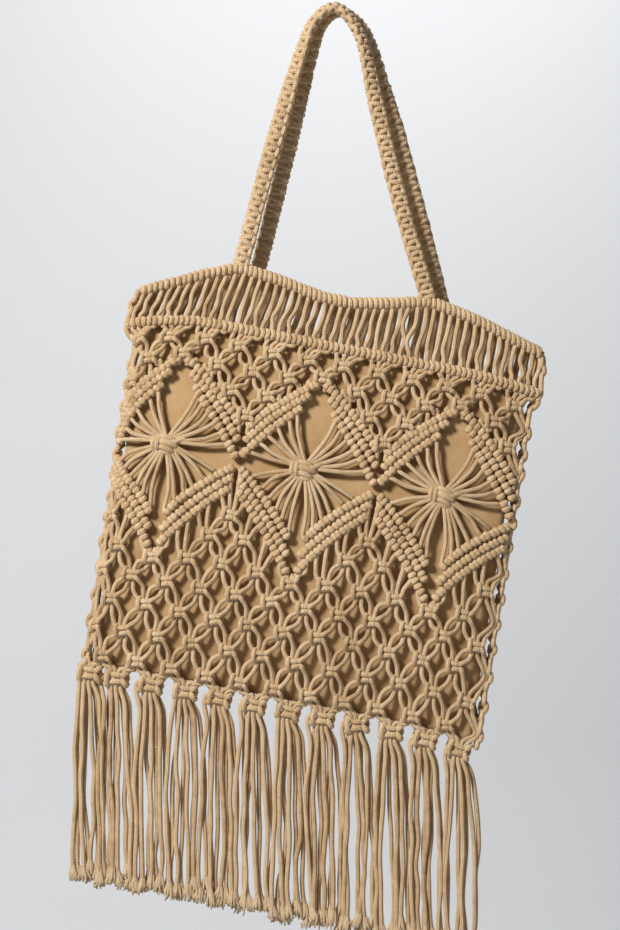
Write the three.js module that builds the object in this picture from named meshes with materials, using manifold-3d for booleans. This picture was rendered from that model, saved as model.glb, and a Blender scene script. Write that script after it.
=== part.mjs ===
// Macrame shoulder bag, hanging by its two handles from one point.
// Millimetres, +Z up, +Y away from the viewer. The origin is the point under the handles where it hangs.

import * as THREE from "three";
import { mergeVertices } from "three/addons/utils/BufferGeometryUtils.js";
import Module from "manifold-3d";

const wasm = await Module();
wasm.setup();

// Cord, knots and clearances
const cordThickness = 5;
const clearance = 0.3;
const knotWidth = 17;
const knotHeight = 13;

// Columns of knots: a knot stands on every second column of a row
const columns = 24;
const columnStep = 17.45;

// The body hangs turned clockwise about the middle of its upper bar
const bodyTilt = THREE.MathUtils.degToRad(11);
const barRight = 1;
const barBelowHook = 331;

// Heights on the panel, measured from the upper bar
const netDrop = 365;
const ladderRise = 60;
const upperBarRadius = 4.6;
const hemRadius = 5;

// Half depth of the body, and how far each panel's middle stays from the plane of the seams
const halfDepth = 18;
const seamGap = 3;
const panelEdge = 0.3;
const diamondEdge = 1;

// The columns lean a little, the side edges dip, and the left edge tucks round the side
const barShift = 1.1;
const columnShift = -7;
const columnLean = 0.036;
const hemNarrowing = 0.045;
const leftTuck = 20;
const leftDip = 16;
const rightDip = 7;
const dipColumns = 4.5;
const tuckColumns = 2;

// Diamonds of hitched bars, each four columns wide to a side
const diamondTop = 0.1041 * netDrop;
const diamondBottom = 0.6384 * netDrop;
const diamondColumns = 4;
const hitchThickness = 9;
const centreKnotWidth = 25;
const centreKnotHeight = 19;
const centreKnotDepth = 13;

// Lining
const liningWall = 1.5;
const liningClearance = 2.4;
const liningBottom = netDrop - 19;
const liningEdge = 1;
const liningStations = 8;

// Fringe
const joinKnotWidth = 25;
const joinKnotHeight = 16;
const joinKnotDepth = 15;
const fringeLength = 195;
const lockWidth = 5.6;
const lockDepth = 6;
const locks = 4;

// Handles
const handleWidth = 17;
const handleThickness = 9;
const handleKnotPitch = 11.5;
const handleDrop = 258;
const handleHalfSpan = 94;
const handleApart = 8.2;
const handleApex = 7.5;
const handleTwist = THREE.MathUtils.degToRad(60);

// Colours
const cordColour = 0xcdb28a;
const liningColour = 0xb9966a;

// Depth of the body: share of the net's drop, share of the half depth
const depthProfile = [
  { drop: -0.17, depth: 0.42 },
  { drop: 0, depth: 0.58 },
  { drop: 0.16, depth: 0.82 },
  { drop: 0.38, depth: 1 },
  { drop: 0.63, depth: 1 },
  { drop: 0.82, depth: 0.76 },
  { drop: 0.93, depth: 0.38 },
  { drop: 1, depth: 0.05 },
];

// The hem, with a peak under each handle: share of the columns, share of the ladder's rise
const hemLine = [
  { across: 0, rise: 0.55 },
  { across: 0.09, rise: 0.68 },
  { across: 0.18, rise: 0.87 },
  { across: 0.229, rise: 1 },
  { across: 0.333, rise: 0.92 },
  { across: 0.44, rise: 0.78 },
  { across: 0.515, rise: 0.77 },
  { across: 0.617, rise: 0.9 },
  { across: 0.708, rise: 1.05 },
  { across: 0.817, rise: 0.92 },
  { across: 0.925, rise: 0.76 },
  { across: 1, rise: 0.67 },
];

// A diamond's outline and opening: share of its reach from the middle, share of its own drop
const diamondTopEdge = [
  { from: 0, down: -0.036 },
  { from: 0.25, down: -0.064 },
  { from: 0.75, down: 0.174 },
  { from: 0.93, down: 0.267 },
];
const diamondCorner = [
  { from: 0.95, down: 0.43 },
  { from: 1, down: 0.451 },
];
const diamondLowCorner = 0.522;
const diamondLowPoint = 1.04;
const diamondOpening = [
  { from: 0, down: 0.04 },
  { from: 0.84, down: 0.443 },
  { from: 0.87, down: 0.482 },
  { from: 0.587, down: 0.533 },
  { from: 0.09, down: 0.79 },
  { from: 0, down: 0.9 },
];
const diamondWeb = [
  { from: 0, down: 0.02 },
  { from: 0.9, down: 0.482 },
  { from: 0, down: 0.94 },
];
const diamondFans = [
  [
    { from: 0.02, down: 0.4 },
    { from: 0.24, down: 0.14 },
    { from: 0.72, down: 0.37 },
    { from: 0.14, down: 0.43 },
  ],
  [
    { from: 0.14, down: 0.44 },
    { from: 0.66, down: 0.53 },
    { from: 0.2, down: 0.76 },
    { from: 0.02, down: 0.47 },
  ],
];
const centreKnotDown = 0.436;
const cornerWidth = 0.35;

// Handle routes between their roots: share of the half span, share of the drop below the apex
const handleRoutes = {
  front: {
    roots: [5.5, 17],
    bends: [
      { across: -0.66, below: 0.545 },
      { across: -0.33, below: 0.157 },
      { across: -0.2, below: 0.05 },
      { across: 0.01, below: 0 },
      { across: 0.235, below: 0.08 },
      { across: 0.43, below: 0.35 },
      { across: 0.69, below: 0.74 },
    ],
  },
  back: {
    roots: [6.55, 17.9],
    bends: [
      { across: -0.49, below: 0.545 },
      { across: -0.235, below: 0.157 },
      { across: -0.13, below: 0.05 },
      { across: 0.05, below: 0 },
      { across: 0.3, below: 0.06 },
      { across: 0.575, below: 0.35 },
      { across: 0.87, below: 0.74 },
    ],
  },
};

const sides = { front: -1, back: 1 };

// A value read off a table, straight between its rows
function readTable(table, key, value, at) {
  const after = table.findIndex((row) => row[key] >= at);
  if (after === 0) return table[0][value];
  if (after < 0) return table[table.length - 1][value];
  const low = table[after - 1];
  const high = table[after];
  return THREE.MathUtils.mapLinear(at, low[key], high[key], low[value], high[value]);
}

const share = (value, from, to) => THREE.MathUtils.clamp((value - from) / (to - from), 0, 1);
const hemRise = (column) => ladderRise * readTable(hemLine, "across", "rise", column / columns);

// Where a column runs across the body, at one drop below the upper bar
function acrossAt(column, drop) {
  const below = share(drop, 0, knotWidth);
  const above = share(-drop, 0, ladderRise);
  const lean = columnLean * Math.max(drop - knotWidth, 0);
  const shift = (1 - above) * (barShift + below * (columnShift - barShift) + lean);
  const tuck = below * leftTuck * Math.max(1 - column / tuckColumns, 0) ** 1.5;
  return columnStep * (column - columns / 2) * (1 - hemNarrowing * above) + shift + tuck;
}

// How far a row dips at the two side edges
function dipAt(column, drop) {
  const fade = 1 - share(drop, diamondDrop(diamondCorner[1].down), diamondBottom - knotWidth);
  const left = Math.max(1 - column / dipColumns, 0) ** 1.5;
  const right = Math.max(1 - (columns - column) / dipColumns, 0) ** 1.5;
  return leftDip * fade * left + rightDip * right;
}

// Depth of a panel's middle surface from the plane of the seams
function depthAt(column, drop) {
  const fromMiddle = Math.min(Math.abs(column - columns / 2) / (columns / 2), 1);
  const fullness = (1 - fromMiddle ** 3) ** 0.45;
  return seamGap + halfDepth * fullness * readTable(depthProfile, "drop", "depth", drop / netDrop);
}

// A point of a panel: its column, its drop below the upper bar, and how far out of the panel
function onPanel(column, drop, out, side) {
  const nudge = 0.02;
  const low = Math.max(column - nudge, 0);
  const high = Math.min(column + nudge, columns);
  const tangent = new THREE.Vector2(
    acrossAt(high, drop) - acrossAt(low, drop),
    depthAt(high, drop) - depthAt(low, drop),
  ).normalize();
  return new THREE.Vector3(
    acrossAt(column, drop) - out * tangent.y,
    side * (depthAt(column, drop) + out * tangent.x),
    -(drop + dipAt(column, drop)),
  );
}

// Shared vertices merged, and faces turned outward
function closed(geometry) {
  geometry.deleteAttribute("normal");
  geometry.deleteAttribute("uv");
  const merged = mergeVertices(geometry, 1e-4);
  const index = merged.index.array;
  const corner = (i) => new THREE.Vector3().fromBufferAttribute(merged.attributes.position, index[i]);
  let volume = 0;
  for (let i = 0; i < index.length; i += 3) {
    volume += corner(i).dot(corner(i + 1).cross(corner(i + 2)));
  }
  for (let i = 0; volume < 0 && i < index.length; i += 3) {
    [index[i + 1], index[i + 2]] = [index[i + 2], index[i + 1]];
  }
  return merged;
}

function fromTriangles(corners) {
  const geometry = new THREE.BufferGeometry();
  const values = corners.flatMap((corner) => corner.toArray());
  geometry.setAttribute("position", new THREE.Float32BufferAttribute(values, 3));
  return closed(geometry);
}

// A closed solid through rings of points that all run the same way round.
// Each end ring is closed by a strip between its first and its second half.
function loft(rings) {
  const count = rings[0].length;
  const last = rings.length - 1;
  const corners = [];
  for (let i = 0; i < last; i++) {
    for (let j = 0; j < count; j++) {
      const next = (j + 1) % count;
      corners.push(rings[i][j], rings[i][next], rings[i + 1][next]);
      corners.push(rings[i][j], rings[i + 1][next], rings[i + 1][j]);
    }
  }
  for (let j = 0; j + 1 < count / 2; j++) {
    const k = count - 1 - j;
    const [near, far] = [rings[0], rings[last]];
    corners.push(near[j], near[k], near[j + 1], near[j + 1], near[k], near[k - 1]);
    corners.push(far[j], far[j + 1], far[k], far[j + 1], far[k - 1], far[k]);
  }
  return fromTriangles(corners);
}

function joined(geometries) {
  const solids = geometries.map((geometry) => new wasm.Manifold(new wasm.Mesh({
    numProp: 3,
    vertProperties: new Float32Array(geometry.attributes.position.array),
    triVerts: new Uint32Array(geometry.index.array),
  })));
  const mesh = solids.reduce((all, solid) => all.add(solid)).getMesh();
  const geometry = new THREE.BufferGeometry();
  geometry.setAttribute("position", new THREE.Float32BufferAttribute(mesh.vertProperties, 3));
  geometry.setIndex([...mesh.triVerts]);
  return closed(geometry);
}

// A point of the flat panel, in millimetres along the columns and down the drop
const flat = (column, drop) => new THREE.Vector2(column * columnStep, drop);

// Points added along an outline wherever it crosses a column, and down its upright edges
function stepped(outline) {
  return outline.flatMap((start, i) => {
    const end = outline[(i + 1) % outline.length];
    const shares = [0];
    if (Math.abs(end.x - start.x) < 1e-6) {
      const steps = Math.ceil(start.distanceTo(end) / columnStep);
      for (let j = 1; j < steps; j++) shares.push(j / steps);
    } else {
      for (let column = 1; column < columns; column++) {
        const along = (column * columnStep - start.x) / (end.x - start.x);
        if (along > 0.01 && along < 0.99) shares.push(along);
      }
    }
    return shares.sort((a, b) => a - b).map((along) => start.clone().lerp(end, along));
  });
}

// A flat plate with openings cut through it, half its thickness on each side of the panel's middle.
// Its faces are cut as the plate is seen from in front with its waist drawn in, so that no long thin
// face follows an edge, and its points then go back to the flat.
function plate(outline, openings, thickness) {
  const edge = stepped(outline);
  const box = new THREE.Box2().setFromPoints(edge);
  const middle = box.getCenter(new THREE.Vector2());
  const half = (box.max.x - box.min.x) / 2;
  const flatPoints = new Map();
  const key = (x, y) => `${Math.fround(x)} ${Math.fround(y)}`;
  const drawn = (points) => points.map((point) => {
    const column = point.x / columnStep;
    const waist = 0.8 + 0.2 * ((point.x - middle.x) / half) ** 2;
    const seen = new THREE.Vector2(
      acrossAt(column, point.y),
      middle.y + (point.y + dipAt(column, point.y) - middle.y) * waist,
    );
    flatPoints.set(key(seen.x, seen.y), point);
    return seen;
  });
  const shape = new THREE.Shape(drawn(edge));
  shape.holes = openings.map((points) => new THREE.Path(drawn(points)));
  const geometry = new THREE.ExtrudeGeometry(shape, { depth: thickness, bevelEnabled: false });
  const position = geometry.attributes.position;
  for (let i = 0; i < position.count; i++) {
    const point = flatPoints.get(key(position.getX(i), position.getY(i)));
    position.setXYZ(i, point.x, point.y, position.getZ(i) - thickness / 2);
  }
  return closed(geometry);
}

// Flat geometry laid on the front or the back panel
function laid(geometry, side) {
  const position = geometry.attributes.position;
  for (let i = 0; i < position.count; i++) {
    const point = onPanel(position.getX(i) / columnStep, position.getY(i), position.getZ(i), side);
    position.setXYZ(i, ...point);
  }
  return closed(geometry);
}

// The columns at which a piece that runs right across has a section
const acrossColumns = Array.from({ length: columns + 1 }, (_, i) =>
  THREE.MathUtils.clamp(i, panelEdge, columns - panelEdge));

// A plain curved wall between two lines that run across the panel
function wall(topOf, bottomOf, rows, side) {
  return loft(acrossColumns.map((column) => {
    const drops = Array.from({ length: rows + 1 }, (_, i) =>
      THREE.MathUtils.lerp(topOf(column), bottomOf(column), i / rows));
    const outer = drops.map((drop) => onPanel(column, drop, cordThickness / 2, side));
    const inner = drops.map((drop) => onPanel(column, drop, -cordThickness / 2, side));
    return [...outer, ...inner.reverse()];
  }));
}

// A round hitched bar along a line of drops
function roundBar(dropOf, radius, side, sections = acrossColumns) {
  const corners = 6;
  return loft(sections.map((column) => Array.from({ length: corners }, (_, i) => {
    const turn = ((i + 0.5) / corners) * 2 * Math.PI;
    return onPanel(column, dropOf(column) + radius * Math.sin(turn), radius * Math.cos(turn), side);
  })));
}

// A straight bar needs fewer sections away from the sides
const barSections = acrossColumns.filter((column) =>
  column % 2 === 0 || Math.abs(column - columns / 2) > columns / 3);

// The ladder of upright cords, open between groups of them
function ladder(side, gaps) {
  const rail = 2;
  const topOf = (column) => -hemRise(column) + hemRadius + clearance;
  const bottom = -upperBarRadius - clearance;
  const top = acrossColumns.map((column) => flat(column, topOf(column)));
  const outline = [...top, flat(columns - panelEdge, bottom), flat(panelEdge, bottom)];
  const spacing = columns / (gaps + 1);
  const halfGap = 0.19 * spacing;
  const openings = Array.from({ length: gaps }, (_, i) => {
    const low = (i + 1) * spacing - halfGap;
    const high = (i + 1) * spacing + halfGap;
    return [
      flat(low, topOf(low) + rail),
      flat(low, bottom - rail),
      flat(high, bottom - rail),
      flat(high, topOf(high) + rail),
    ];
  });
  return laid(plate(outline, openings, cordThickness), side);
}

const diamondCentres = { left: 4, middle: 12, right: 20 };
const diamondDrop = (down) => THREE.MathUtils.lerp(diamondTop, diamondBottom, down);

// Room between a net and the diamonds' edges, wider where the panel turns round the side
const edgeRoom = (column) => clearance * (2 + 14 * Math.max(1 - column / diamondColumns, 0));

// Distance in columns from the nearest diamond's middle, as a share of its reach
function fromDiamond(column) {
  const nearest = Math.min(...Object.values(diamondCentres).map((centre) => Math.abs(column - centre)));
  return Math.min(nearest / diamondColumns, 1);
}

const upperNetTop = () => upperBarRadius + clearance;
const upperNetBottom = (column) =>
  diamondDrop(readTable(diamondTopEdge, "from", "down", fromDiamond(Math.max(column, diamondEdge))))
  - edgeRoom(column);
const lowerNetTop = (column) =>
  diamondDrop(THREE.MathUtils.lerp(diamondLowPoint, diamondLowCorner, fromDiamond(column)))
  + edgeRoom(column);
const lowerNetBottom = () => netDrop - joinKnotHeight / 2 - clearance;

const everySecond = (from, to) => Array.from({ length: (to - from) / 2 + 1 }, (_, i) => from + 2 * i);

// Openings of the nets: the columns that have one, and where each row starts and ends down the drop
const upperOpenings = [
  { at: everySecond(2, 22), top: 0.021, bottom: 0.075 },
  { at: [1, 7, 9, 15, 17, 23], top: 0.078, bottom: 0.148 },
  { at: [8, 16], top: 0.15, bottom: 0.21 },
];
const lowerOpenings = [
  { at: [8, 16], top: 0.53, bottom: 0.6 },
  { at: everySecond(1, 23), top: 0.602, bottom: 0.675 },
  { at: everySecond(2, 22), top: 0.672, bottom: 0.75 },
  { at: everySecond(1, 23), top: 0.748, bottom: 0.826 },
  { at: everySecond(2, 22), top: 0.824, bottom: 0.906 },
  { at: everySecond(1, 23), top: 0.904, bottom: 0.965 },
];

// The opening between four knots: a column wide, narrowed by the knots at its sides
function netOpening(column, top, bottom) {
  const reach = 1 - knotWidth / 2 / columnStep;
  const middle = (top + bottom) / 2;
  const shoulder = Math.min(knotHeight / 4, (bottom - top) / 9);
  const low = Math.max(column - reach, 2 * panelEdge);
  const high = Math.min(column + reach, columns - 2 * panelEdge);
  return [
    flat(column, top),
    flat(low, middle - shoulder),
    flat(low, middle + shoulder),
    flat(column, bottom),
    flat(high, middle + shoulder),
    flat(high, middle - shoulder),
  ];
}

function piercedNet(topOf, bottomOf, rows, side) {
  const top = acrossColumns.map((column) => flat(column, topOf(column)));
  const bottom = acrossColumns.map((column) => flat(column, bottomOf(column)));
  const openings = rows.flatMap((row) => row.at.map((column) =>
    netOpening(column, row.top * netDrop, row.bottom * netDrop)));
  return laid(plate([...top, ...bottom.reverse()], openings, cordThickness), side);
}

// One diamond: hitched bars all round, a fan of cords in each quarter, and a centre knot
function diamond(centre, side, openCorners) {
  const low = Math.max(centre - diamondColumns + clearance / 2 / columnStep, diamondEdge);
  const high = Math.min(centre + diamondColumns - clearance / 2 / columnStep, columns - panelEdge);
  const at = (turn, row, inset) => flat(
    THREE.MathUtils.clamp(centre + turn * row.from * diamondColumns, low + inset, high - inset),
    diamondDrop(row.down),
  );
  const allRound = (rows, inset) => [
    ...rows.map((row) => at(1, row, inset)),
    ...rows.slice(1, -1).reverse().map((row) => at(-1, row, inset)),
  ];
  const outer = allRound([
    ...diamondTopEdge,
    ...diamondCorner,
    { from: 1, down: diamondLowCorner },
    { from: 0, down: diamondLowPoint },
  ], 0);
  const fans = [1, -1].flatMap((turn) => diamondFans.map((fan) => fan.map((row) => at(turn, row, 0))));
  const webs = openCorners ? fans : [allRound(diamondWeb, 0.5 * cornerWidth)];
  const knot = new THREE.SphereGeometry(0.5, 6, 4);
  knot.scale(centreKnotWidth, centreKnotHeight, centreKnotDepth);
  knot.translate(centre * columnStep, diamondDrop(centreKnotDown), 0);
  const pieces = [
    plate(outer, [stepped(allRound(diamondOpening, cornerWidth))], hitchThickness),
    ...webs.map((web) => plate(web, [], cordThickness)),
    closed(knot),
  ];
  return laid(joined(pieces), side);
}

// The lining: a pouch open at the top, sewn under the upper bars
function liningPouch() {
  const top = upperBarRadius + clearance;
  const bends = depthProfile
    .map((row) => row.drop * netDrop)
    .filter((drop) => drop > top && drop < liningBottom);
  const ring = (drop, inset) => {
    const edge = liningEdge + inset / columnStep;
    const out = -hitchThickness / 2 - liningClearance - inset;
    const stations = Array.from({ length: liningStations + 1 }, (_, i) =>
      THREE.MathUtils.lerp(edge, columns - edge, i / liningStations));
    return [
      ...stations.map((column) => onPanel(column, drop, out, sides.front)),
      ...stations.reverse().map((column) => onPanel(column, drop, out, sides.back)),
    ];
  };
  const outside = [top, ...bends, liningBottom].map((drop) => ring(drop, 0));
  const inside = [top, ...bends, liningBottom - liningWall].map((drop) => ring(drop, liningWall));
  return loft([...outside.reverse(), ...inside]);
}

// A column of side knots between the edges of the front and the back panel
function sideSeam(edge) {
  const outward = edge === 0 ? -1 : 1;
  const inner = THREE.MathUtils.clamp(edge, panelEdge, columns - panelEdge);
  const top = -hemRise(edge) - hemRadius / 2;
  const bottom = 0.93 * netDrop;
  const steps = 14;
  return loft(Array.from({ length: steps + 1 }, (_, i) => {
    const drop = THREE.MathUtils.lerp(top, bottom, i / steps);
    const besideBar = drop < knotWidth || Math.abs(drop - diamondDrop(0.4)) < 5 * hitchThickness;
    const thickness = besideBar ? hemRadius : cordThickness / 2;
    const half = Math.abs(onPanel(inner, drop, -thickness, sides.front).y) - 3 * clearance;
    const knot = i % 2 ? 1.5 : 0;
    const low = acrossAt(inner, drop) - outward * 2 * clearance;
    const high = acrossAt(edge, drop) + outward * (cordThickness / 2 + knot);
    const level = -(drop + dipAt(edge, drop));
    return [[low, -half], [high, -half], [high, half], [low, half]]
      .map(([x, y]) => new THREE.Vector3(x, y, level));
  }));
}

// A joining knot of front and back, with its cut cords hanging straight down in locks
function tassel(number) {
  const head = new THREE.SphereGeometry(0.5, 6, 4);
  const flatTop = Math.cos(Math.PI / 6);
  head.rotateZ(Math.PI / 2).scale(joinKnotWidth, joinKnotDepth, joinKnotHeight / flatTop);
  head.rotateY(bodyTilt);
  const hanging = Array.from({ length: locks }, (_, i) => {
    const place = i - (locks - 1) / 2;
    const length = fringeLength * (1 + 0.02 * Math.sin(5 * number + 3 * i));
    return loft([0.01, 0.55, 1].map((down) => {
      const sway = lockWidth * 0.25 * Math.sin(2 * number + 4 * i + 5 * down) * down;
      const x = place * lockWidth * (1.05 + 0.25 * down) + sway;
      const y = (i % 2 ? 1 : -1) * lockDepth * 0.25;
      const taper = 1 - 0.25 * down;
      return [[-1, 0], [0, -1], [1, 0], [0, 1]].map(([right, back]) => new THREE.Vector3(
        x + right * taper * lockWidth * 0.5,
        y + back * taper * lockDepth * 0.5,
        -length * down,
      ));
    }));
  });
  return joined([closed(head), ...hanging]);
}

const bodyFrame = new THREE.Matrix4()
  .makeRotationY(bodyTilt)
  .setPosition(barRight, 0, -barBelowHook);

// A handle: a flat braid of square knots from one hem peak over the hanging point to the other
function handle(face) {
  const side = sides[face];
  const { roots, bends } = handleRoutes[face];
  const hemAt = (column, above) =>
    onPanel(column, -hemRise(column) - above, 0, side).applyMatrix4(bodyFrame);
  const rootAt = (column) => hemAt(column, hemRadius + clearance);
  const hemUp = (column) => {
    const hem = hemAt(column + 0.5, 0).sub(hemAt(column - 0.5, 0));
    return new THREE.Vector3(-hem.z, 0, hem.x).normalize();
  };
  const ends = roots.map(rootAt);
  const between = bends.map((bend) => new THREE.Vector3(
    bend.across * handleHalfSpan,
    side * handleApart,
    handleApex - bend.below * handleDrop,
  ));
  const route = new THREE.CatmullRomCurve3([ends[0], ...between, ends[1]], false, "centripetal");
  const passes = 2 * Math.round(route.getLength() / handleKnotPitch / 2);

  return loft(Array.from({ length: passes + 1 }, (_, i) => {
    const centre = route.getPointAt(i / passes);
    const along = route.getTangentAt(i / passes);
    const below = (handleApex - centre.z) / handleDrop;
    const twist = handleTwist * (1 - THREE.MathUtils.smoothstep(below, 0, 0.5));
    const outward = new THREE.Vector3(-along.z, 0, along.x);
    const facing = outward.multiplyScalar(Math.sin(twist)).add(new THREE.Vector3(0, -Math.cos(twist), 0));
    const across = new THREE.Vector3().crossVectors(along, facing).normalize();
    const width = handleWidth * (i % 2 ? 1 : 0.86);
    const ring = [[0.5, 0], [0.25, 0.5], [-0.25, 0.5], [-0.5, 0], [-0.25, -0.5], [0.25, -0.5]]
      .map(([wide, thick]) => centre.clone()
        .addScaledVector(across, wide * width)
        .addScaledVector(facing, thick * handleThickness));

    // The two ends are cut along the hem that they are knotted to
    if (i === 0 || i === passes) {
      const up = hemUp(roots[i === 0 ? 0 : 1]);
      ring.forEach((point) => {
        const above = point.clone().sub(centre).dot(up);
        point.addScaledVector(along, -above / along.dot(up));
      });
    }
    return ring;
  }));
}

const material = (color) => new THREE.MeshStandardMaterial({ color, roughness: 0.9, metalness: 0 });

function named(name, geometry, color = cordColour) {
  const mesh = new THREE.Mesh(geometry, material(color));
  mesh.name = name;
  return mesh;
}

const bag = new THREE.Group();
const body = new THREE.Group();
body.applyMatrix4(bodyFrame);
bag.add(body);

Object.entries(sides).forEach(([face, side]) => {
  const isFront = side === sides.front;
  body.add(
    named(`${face}_hem_bar`, roundBar((column) => -hemRise(column), hemRadius, side)),
    named(`${face}_ladder`, ladder(side, isFront ? columns - 1 : columns / 2 - 1)),
    named(`${face}_upper_bar`, roundBar(() => 0, upperBarRadius, side, barSections)),
    named(`${face}_net_upper`, isFront
      ? piercedNet(upperNetTop, upperNetBottom, upperOpenings, side)
      : wall(upperNetTop, upperNetBottom, 1, side)),
    named(`${face}_net_lower`, isFront
      ? piercedNet(lowerNetTop, lowerNetBottom, lowerOpenings, side)
      : wall(lowerNetTop, lowerNetBottom, 3, side)),
  );
  Object.entries(diamondCentres).forEach(([place, centre]) => {
    body.add(named(`${face}_diamond_${place}`, diamond(centre, side, isFront)));
  });
  bag.add(named(`handle_${face}`, handle(face)));
});

body.add(named("side_seam_left", sideSeam(0)));
body.add(named("side_seam_right", sideSeam(columns)));
body.add(named("lining_pouch", liningPouch(), liningColour));

everySecond(1, columns - 1).forEach((column, i) => {
  const mesh = named(`tassel_${String(i + 1).padStart(2, "0")}`, tassel(i + 1));
  const knot = onPanel(column, netDrop, 0, sides.front).setY(0);
  mesh.position.copy(knot.applyMatrix4(bodyFrame));
  bag.add(mesh);
});

export default bag;
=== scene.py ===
import math

import bpy
import numpy as np
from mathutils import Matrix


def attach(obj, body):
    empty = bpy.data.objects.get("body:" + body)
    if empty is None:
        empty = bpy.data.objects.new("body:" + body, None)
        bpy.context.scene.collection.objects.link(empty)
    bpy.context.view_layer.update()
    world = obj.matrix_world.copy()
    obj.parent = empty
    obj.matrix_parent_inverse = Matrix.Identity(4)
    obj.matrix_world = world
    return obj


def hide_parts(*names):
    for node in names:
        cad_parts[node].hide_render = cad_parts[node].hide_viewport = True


# Looks of the macrame shoulder bag. Lengths are in millimetres until a piece is made.

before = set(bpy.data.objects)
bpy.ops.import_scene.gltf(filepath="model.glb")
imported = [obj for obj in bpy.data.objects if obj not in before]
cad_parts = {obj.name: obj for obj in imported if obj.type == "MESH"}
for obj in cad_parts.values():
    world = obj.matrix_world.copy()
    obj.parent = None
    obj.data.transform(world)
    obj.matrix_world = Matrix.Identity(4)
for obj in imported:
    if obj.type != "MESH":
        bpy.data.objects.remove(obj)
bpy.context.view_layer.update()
rng = np.random.default_rng(11)

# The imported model's own sizes
COLUMNS = 24
COLUMN_STEP = 17.45
KNOT_WIDTH = 17
BODY_TILT = math.radians(11)
BAR_RIGHT = 1
BAR_BELOW_HOOK = 331
NET_DROP = 365
LADDER_RISE = 60
UPPER_BAR_RADIUS = 4.6
HEM_RADIUS = 5
HALF_DEPTH = 18
SEAM_GAP = 3
BAR_SHIFT = 1.1
COLUMN_SHIFT = -7
COLUMN_LEAN = 0.036
HEM_NARROWING = 0.045
LEFT_TUCK = 20
LEFT_DIP = 16
RIGHT_DIP = 7
DIP_COLUMNS = 4.5
TUCK_COLUMNS = 2
DIAMOND_TOP = 38
DIAMOND_BOTTOM = 233
DIAMOND_COLUMNS = 4
DIAMOND_CENTRES = {"left": 4, "middle": 12, "right": 20}
HITCH_THICKNESS = 9
LINING_BOTTOM = 355
FRINGE_LENGTH = 195
HANDLE_DROP = 258
HANDLE_HALF_SPAN = 94
HANDLE_APART = 8.2
HANDLE_APEX = 7.5
HANDLE_TWIST = math.radians(60)
CLEARANCE = 0.3
SIDES = {"front": -1, "back": 1}

# Share of the net's drop, share of the half depth
DEPTH_PROFILE = [
    (-0.17, 0.42),
    (0, 0.58),
    (0.16, 0.82),
    (0.38, 1),
    (0.63, 1),
    (0.82, 0.76),
    (0.93, 0.38),
    (1, 0.05),
]

# Share of the columns, share of the ladder's rise
HEM_LINE = [
    (0, 0.55),
    (0.09, 0.68),
    (0.18, 0.87),
    (0.229, 1),
    (0.333, 0.92),
    (0.44, 0.78),
    (0.515, 0.77),
    (0.617, 0.9),
    (0.708, 1.05),
    (0.817, 0.92),
    (0.925, 0.76),
    (1, 0.67),
]

# The top edge of a diamond's bars: share of its reach, drop below the upper bar
DIAMOND_TOP_EDGE = [
    (0, 39),
    (0.15, 40),
    (0.3, 44),
    (0.42, 50),
    (0.54, 58),
    (0.69, 69),
    (0.79, 77),
    (0.89, 88),
    (1, 106),
]
DIAMOND_LOW_CORNER = 0.522
DIAMOND_LOW_POINT = 1.04
CENTRE_KNOT_DOWN = 0.436

# The rows of hitches of a diamond's four bars: right of its middle, drop below the upper bar
DIAMOND_ROWS = [
    [(-2.5, 38), (-11, 44.5), (-20, 51), (-37.4, 65.5), (-48.5, 75.5), (-56, 83.5), (-64.5, 94)],
    [(-9, 51), (-29.1, 67), (-44.3, 82), (-58, 97.5), (-66.5, 109)],
    [(-15, 64), (-30.1, 79), (-45.2, 95), (-58.9, 112), (-68, 125)],
    [(3, 37), (12.4, 43.8), (21.9, 50.8), (38.9, 65.3), (54.4, 81.3), (65, 93.5)],
    [(9.5, 50.5), (30.4, 68.5), (46.3, 85.5), (66.5, 109)],
    [(15, 63.6), (32.6, 83.1), (45.4, 98.6), (54.4, 110.1), (67.2, 126.4)],
    [(-67, 135.5), (-56.7, 144), (-38.9, 161), (-22.7, 178.5), (-8.5, 196)],
    [(-67, 146), (-47.2, 165), (-28.6, 185.5), (-7, 212)],
    [(-65.5, 158), (-50.5, 173.5), (-32.4, 194), (-14.7, 216), (-5, 229)],
    [(67, 135.5), (50, 148), (36.6, 160), (18, 178.5), (6.5, 194)],
    [(67, 145.5), (47, 162.5), (28.5, 181), (14, 197.5), (4.5, 211)],
    [(65.5, 157), (50, 171), (34, 187.5), (17, 207.5), (4, 226)],
]

# Where the fans leave the bars: the left and right upper fans, then the lower ones
DIAMOND_FANS = [
    [(-18.1, 75), (-25.6, 83), (-34.9, 92), (-42.3, 100.6), (-49, 109.6), (-56, 118.5)],
    [(18.7, 73.3), (25.7, 80.7), (33, 88.5), (40.5, 97.4), (46, 107), (51, 117)],
    [(-50.5, 140.5), (-41.5, 150), (-33, 159), (-25.8, 168), (-18.4, 177), (-10, 186)],
    [(45, 142.1), (36, 150), (27, 159.8), (20, 168.3), (13, 178.5), (4.5, 188)],
]

# Rows of knots: drop below the upper bar, columns that have a knot
UPPER_ROWS = [
    (17, range(1, 24, 2)),
    (33, [4, 12, 20]),
    (39.5, [2, 6, 8, 10, 14, 16, 18, 22]),
    (61, [1, 7, 9, 15, 17, 23]),
    (83, [8, 16]),
]
LOWER_ROWS = [
    (183, [8, 16]),
    (205, [1, 7, 9, 15, 17, 23]),
    (233, [2, 6, 8, 10, 14, 16, 18, 22]),
    (239, [4, 12, 20]),
    (260, range(1, 24, 2)),
    (287, range(2, 23, 2)),
    (316, range(1, 24, 2)),
    (345, range(2, 23, 2)),
]
SIDE_ROWS = [-22, 8, 39.5, 61, 83, 108, 132, 157, 183, 208, 233, 260, 287, 316, 345]

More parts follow.
